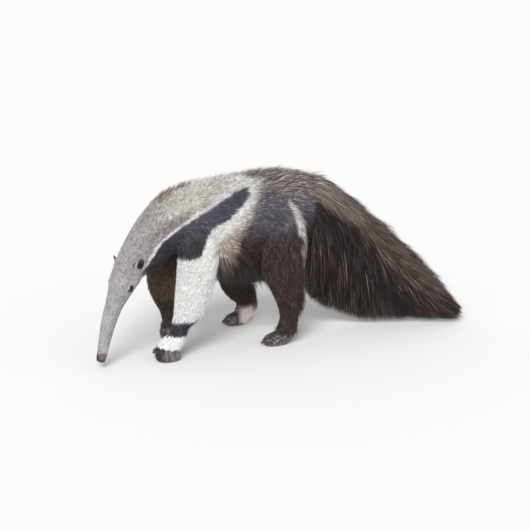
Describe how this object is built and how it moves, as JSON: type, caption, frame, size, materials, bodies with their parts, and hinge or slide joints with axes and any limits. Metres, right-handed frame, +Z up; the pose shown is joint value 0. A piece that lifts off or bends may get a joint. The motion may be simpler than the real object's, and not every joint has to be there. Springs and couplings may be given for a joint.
{
  "type": "giant anteater",
  "caption": "Standing life-size giant anteater in a walking pose with lowered long snout, banded shaggy coat and a large drooping hairy tail, as a still display model.",
  "frame": {"origin": "middle of the whole animal's footprint, on the floor it stands on", "axes": "+Z up; the animal faces -Y, its tail points to +Y and its left side is towards +X"},
  "size_m": [0.3948, 1.5225, 0.684],
  "materials": {
    "coat": "long coarse hair, dark brown to black, grey and white in its bands",
    "face": "short grey hair over skin",
    "foot_skin": "dark bare skin and short hair",
    "claw": "worn dark horn",
    "eye": "wet black eye"
  },
  "bodies": {
    "root": {"ear_left": "face", "ear_right": "face", "eye_left": "eye", "eye_right": "eye", "foreclaw_left_1": "claw", "foreclaw_left_2": "claw", "foreclaw_left_3": "claw", "foreclaw_left_4": "claw", "foreclaw_right_1": "claw", "foreclaw_right_2": "claw", "foreclaw_right_3": "claw", "foreclaw_right_4": "claw", "forefoot_left": "foot_skin", "forefoot_right": "foot_skin", "foreleg_left": "coat", "foreleg_right": "coat", "head": "face", "hindclaw_left_1": "claw", "hindclaw_left_2": "claw", "hindclaw_left_3": "claw", "hindclaw_left_4": "claw", "hindclaw_left_5": "claw", "hindclaw_right_1": "claw", "hindclaw_right_2": "claw", "hindclaw_right_3": "claw", "hindclaw_right_4": "claw", "hindclaw_right_5": "claw", "hindfoot_left": "foot_skin", "hindfoot_right": "foot_skin", "hindleg_left": "coat", "hindleg_right": "coat", "neck": "coat", "tail": "coat", "torso": "coat"}
  },
  "joints": []
}
